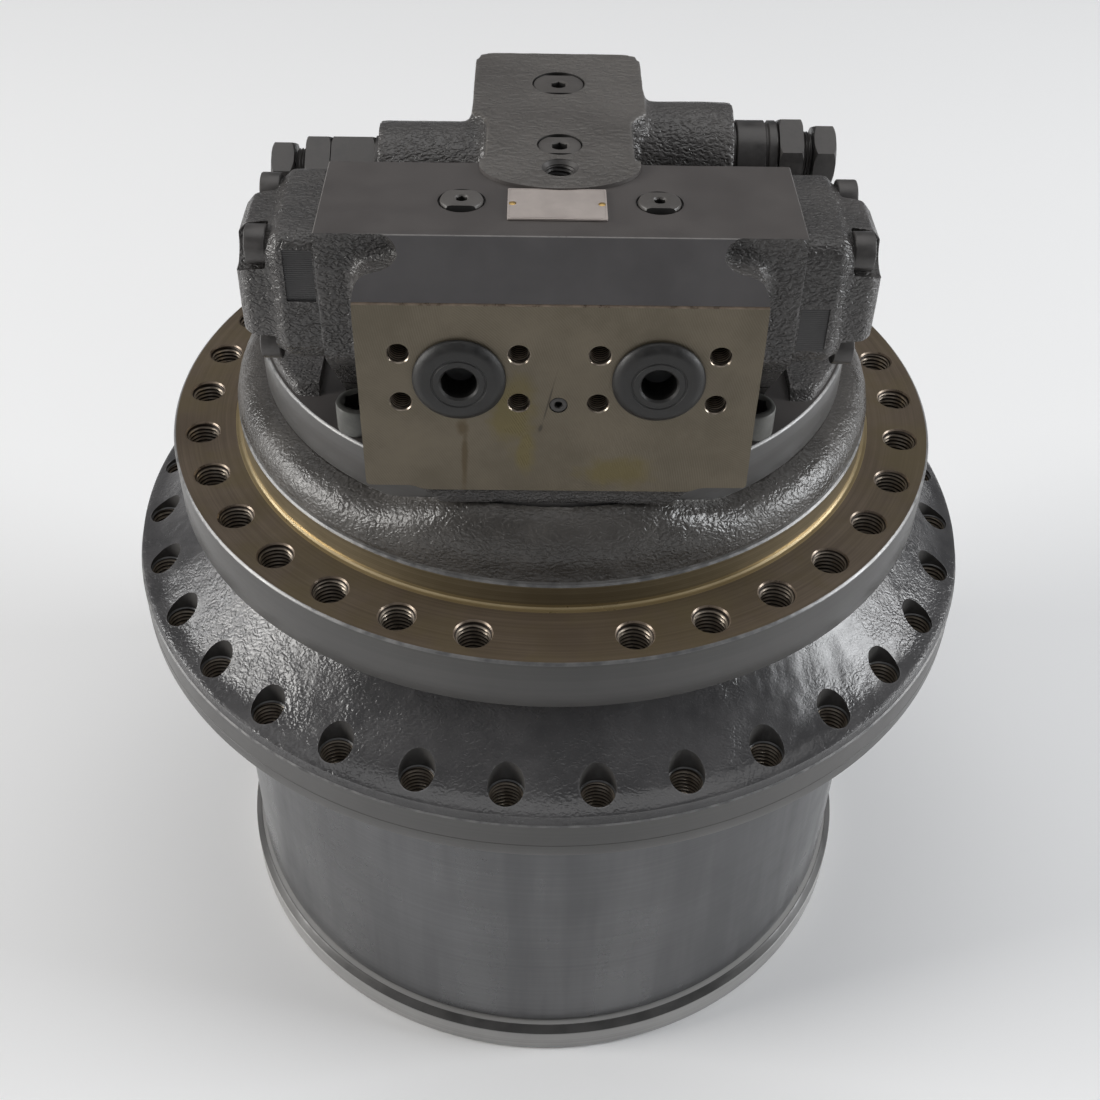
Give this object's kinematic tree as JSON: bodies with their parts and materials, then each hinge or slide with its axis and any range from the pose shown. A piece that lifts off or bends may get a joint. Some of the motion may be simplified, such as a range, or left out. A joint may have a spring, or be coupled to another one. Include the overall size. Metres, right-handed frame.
{
  "type": "excavator final drive",
  "caption": "Hydraulic travel motor on a planetary reduction: ported valve block, frame flange, rotating sprocket flange, ring gear drum and end cover.",
  "frame": {"origin": "centre of the end cover's outer face, on the drive axis", "axes": "+Z along the drive axis towards the valve block, -Y out of the port face, +X to the right of someone who faces the ports"},
  "size_m": [0.54, 0.54, 0.598],
  "materials": {
    "cast_paint": "warm dark grey paint over a sand cast skin, semi gloss",
    "drum_steel": "turned steel under thin satin grey paint",
    "gear_steel": "ground and hardened steel, lightly oiled",
    "bearing_steel": "polished bearing steel",
    "black_oxide": "dark grey over black oxide, semi gloss",
    "black_rubber": "dull black moulded rubber",
    "plain_plate": "blank satin plate",
    "bronze": "sintered bronze face"
  },
  "bodies": {
    "motor_frame": {"motor_casing": "cast_paint", "rear_cover": "cast_paint", "shaft_bearing": "bearing_steel", "carrier_2": "gear_steel", "planet_2_pin_1": "gear_steel", "planet_2_pin_2": "gear_steel", "planet_2_pin_3": "gear_steel", "lower_inner_race": "bearing_steel", "upper_inner_race": "bearing_steel", "fixed_seal_ring": "gear_steel", "valve_plate": "bronze", "cover_screw_1": "black_oxide", "cover_screw_2": "black_oxide", "cover_screw_3": "black_oxide", "cover_screw_4": "black_oxide", "left_spool_cap": "cast_paint", "right_spool_cap": "cast_paint", "left_relief_body": "black_oxide", "right_relief_body": "black_oxide", "left_relief_locknut": "black_oxide", "right_relief_locknut": "black_oxide", "left_relief_cap": "black_oxide", "right_relief_cap": "black_oxide", "left_port_plug": "black_rubber", "right_port_plug": "black_rubber", "test_port_plug": "black_oxide", "main_gallery_plug": "black_oxide", "small_gallery_plug": "black_oxide", "left_check_plug": "black_oxide", "right_check_plug": "black_oxide", "nameplate": "plain_plate"},
    "sprocket_housing": {"sprocket_hub": "cast_paint", "ring_gear": "drum_steel", "end_cover": "drum_steel", "drain_plug": "black_oxide", "level_plug": "black_oxide", "lower_outer_race": "bearing_steel", "upper_outer_race": "bearing_steel", "rotating_seal_ring": "gear_steel"},
    "lower_rollers": {"lower_roller_set": "bearing_steel"},
    "upper_rollers": {"upper_roller_set": "bearing_steel"},
    "input_group": {"motor_shaft": "gear_steel", "cylinder_block": "gear_steel", "sun_gear_1": "gear_steel", "brake_disc": "bronze"},
    "first_carrier": {"carrier_1": "gear_steel", "sun_gear_2": "gear_steel", "planet_1_pin_1": "gear_steel", "planet_1_pin_2": "gear_steel", "planet_1_pin_3": "gear_steel"},
    "spool": {"counterbalance_spool": "gear_steel"},
    "swash": {"swash_plate": "gear_steel"},
    "brake": {"brake_piston": "gear_steel"},
    "first_planet_1": {"planet_1_1": "gear_steel"},
    "second_planet_1": {"planet_2_1": "gear_steel"},
    "first_planet_2": {"planet_1_2": "gear_steel"},
    "second_planet_2": {"planet_2_2": "gear_steel"},
    "first_planet_3": {"planet_1_3": "gear_steel"},
    "second_planet_3": {"planet_2_3": "gear_steel"}
  },
  "joints": [
    {"name": "housing_spin", "type": "hinge", "parent": "motor_frame", "child": "sprocket_housing", "pos_m": [0, 0, 0.3], "axis": [0, 0, 1], "continuous": true},
    {"name": "first_carrier_spin", "type": "hinge", "parent": "motor_frame", "child": "first_carrier", "pos_m": [0, 0, 0.094], "axis": [0, 0, 1], "continuous": true},
    {"name": "input_spin", "type": "hinge", "parent": "motor_frame", "child": "input_group", "pos_m": [0, 0, 0.25], "axis": [0, 0, 1], "continuous": true},
    {"name": "lower_roller_spin", "type": "hinge", "parent": "motor_frame", "child": "lower_rollers", "pos_m": [0, 0, 0.28], "axis": [0, 0, 1], "continuous": true},
    {"name": "upper_roller_spin", "type": "hinge", "parent": "motor_frame", "child": "upper_rollers", "pos_m": [0, 0, 0.322], "axis": [0, 0, 1], "continuous": true},
    {"name": "first_planet_1_spin", "type": "hinge", "parent": "first_carrier", "child": "first_planet_1", "pos_m": [0.117, 0, 0.063], "axis": [0, 0, 1], "continuous": true},
    {"name": "second_planet_1_spin", "type": "hinge", "parent": "motor_frame", "child": "second_planet_1", "pos_m": [0.126, 0, 0.144], "axis": [0, 0, 1], "continuous": true},
    {"name": "first_planet_2_spin", "type": "hinge", "parent": "first_carrier", "child": "first_planet_2", "pos_m": [-0.0585, 0.10132, 0.063], "axis": [0, 0, 1], "continuous": true},
    {"name": "second_planet_2_spin", "type": "hinge", "parent": "motor_frame", "child": "second_planet_2", "pos_m": [-0.063, 0.10912, 0.144], "axis": [0, 0, 1], "continuous": true},
    {"name": "first_planet_3_spin", "type": "hinge", "parent": "first_carrier", "child": "first_planet_3", "pos_m": [-0.0585, -0.10132, 0.063], "axis": [0, 0, 1], "continuous": true},
    {"name": "second_planet_3_spin", "type": "hinge", "parent": "motor_frame", "child": "second_planet_3", "pos_m": [-0.063, -0.10912, 0.144], "axis": [0, 0, 1], "continuous": true},
    {"name": "spool_shift", "type": "slide", "parent": "motor_frame", "child": "spool", "axis": [1, 0, 0], "range_m": [-0.008, 0.008], "stiffness_N_per_m": 9000},
    {"name": "swash_tilt", "type": "hinge", "parent": "motor_frame", "child": "swash", "pos_m": [0, 0, 0.3002], "axis": [1, 0, 0], "range_deg": [-7, 0]},
    {"name": "brake_release", "type": "slide", "parent": "motor_frame", "child": "brake", "axis": [0, 0, 1], "range_m": [0, 0.002], "stiffness_N_per_m": 20000}
  ],
  "couplings": [
    {"joint": "first_carrier_spin", "follows": "housing_spin", "ratio": -3.2},
    {"joint": "input_spin", "follows": "housing_spin", "ratio": -22.4},
    {"joint": "lower_roller_spin", "follows": "housing_spin", "ratio": 0.52},
    {"joint": "upper_roller_spin", "follows": "housing_spin", "ratio": 0.52},
    {"joint": "first_planet_1_spin", "follows": "housing_spin", "ratio": 10.752},
    {"joint": "second_planet_1_spin", "follows": "housing_spin", "ratio": 2.9091},
    {"joint": "first_planet_2_spin", "follows": "housing_spin", "ratio": 10.752},
    {"joint": "second_planet_2_spin", "follows": "housing_spin", "ratio": 2.9091},
    {"joint": "first_planet_3_spin", "follows": "housing_spin", "ratio": 10.752},
    {"joint": "second_planet_3_spin", "follows": "housing_spin", "ratio": 2.9091}
  ]
}
